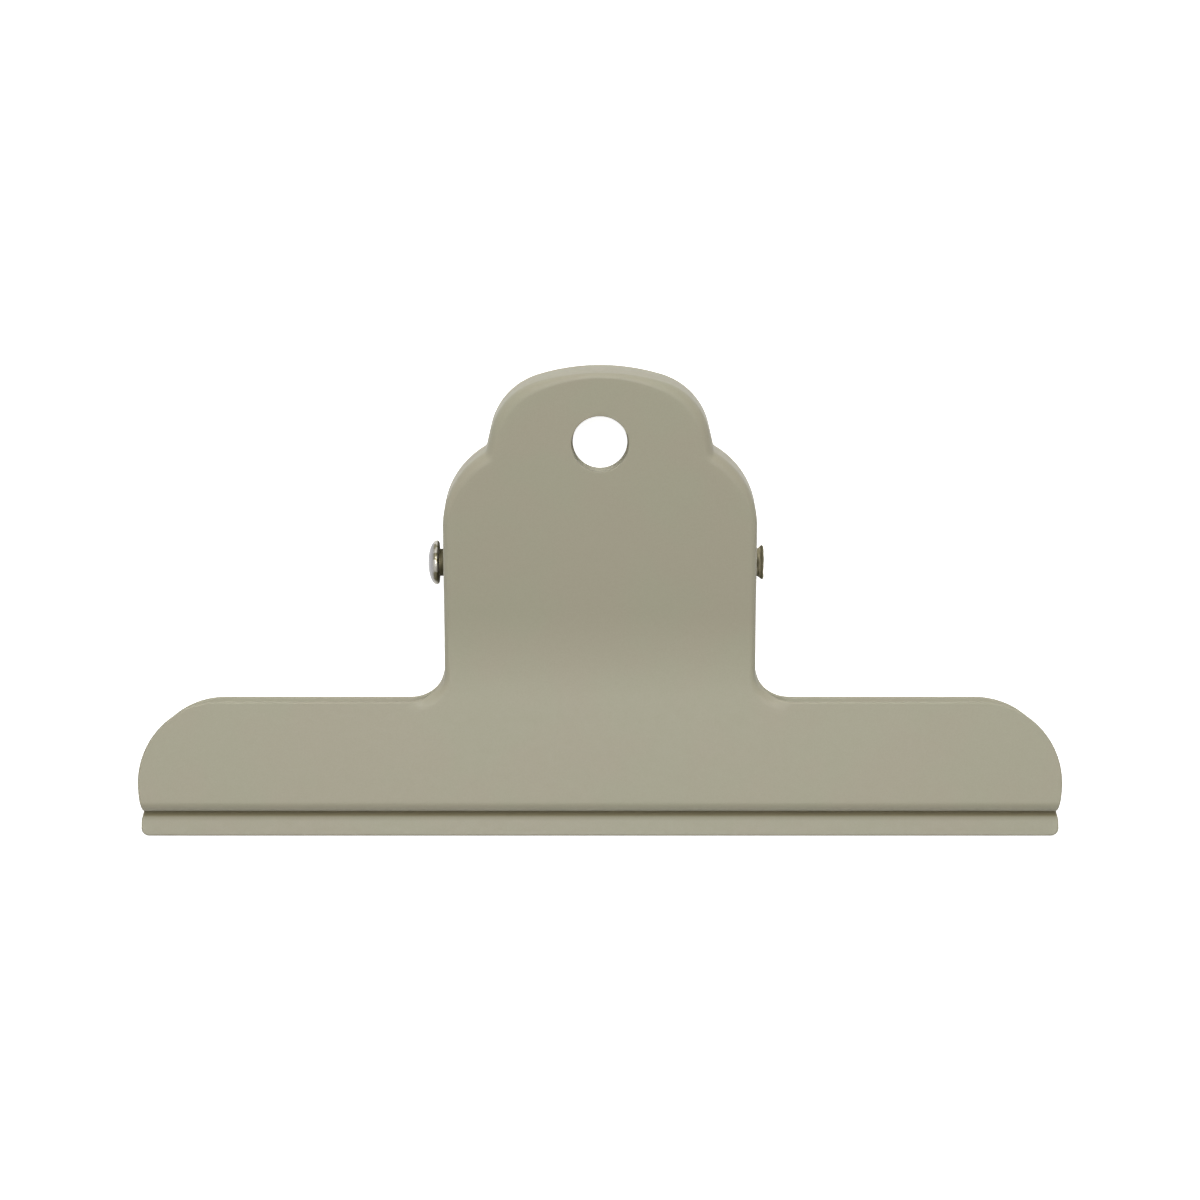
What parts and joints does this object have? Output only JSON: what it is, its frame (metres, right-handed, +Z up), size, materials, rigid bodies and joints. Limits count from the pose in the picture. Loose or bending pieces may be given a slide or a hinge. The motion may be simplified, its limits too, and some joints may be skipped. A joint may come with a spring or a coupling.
{
  "type": "paper clamp",
  "caption": "Wide-jawed spring paper clamp of painted sheet steel: mirrored plates hinged on a rivet, with flanged handles pierced for hanging.",
  "frame": {"origin": "bottom centre of the bounding box, with the clamp lying on its rear plate", "axes": "+X along the jaw towards the rivet's flared end, +Y towards the handles, +Z up from the rear plate to the front plate"},
  "size_m": [0.1556, 0.0804, 0.0328],
  "materials": {
    "painted_steel": "matte warm grey-sage paint on pressed sheet steel",
    "painted_steel_rear": "matte warm grey-sage paint on pressed sheet steel",
    "nickel_plate": "nickel-plated steel rivet",
    "nickel_wire": "nickel-plated spring wire"
  },
  "bodies": {
    "rear_jaw": {"rear_plate": "painted_steel_rear", "pivot_rivet": "nickel_plate", "torsion_spring": "nickel_wire"},
    "front_jaw": {"front_plate": "painted_steel"}
  },
  "joints": [
    {"name": "jaw_open", "type": "hinge", "parent": "rear_jaw", "child": "front_jaw", "pos_m": [0, 0.00573, 0.01141], "axis": [-1, 0, 0], "range_deg": [0, 34], "stiffness_Nm_per_rad": 0.26, "springref_deg": -114.59, "deforming": ["torsion_spring"]}
  ]
}
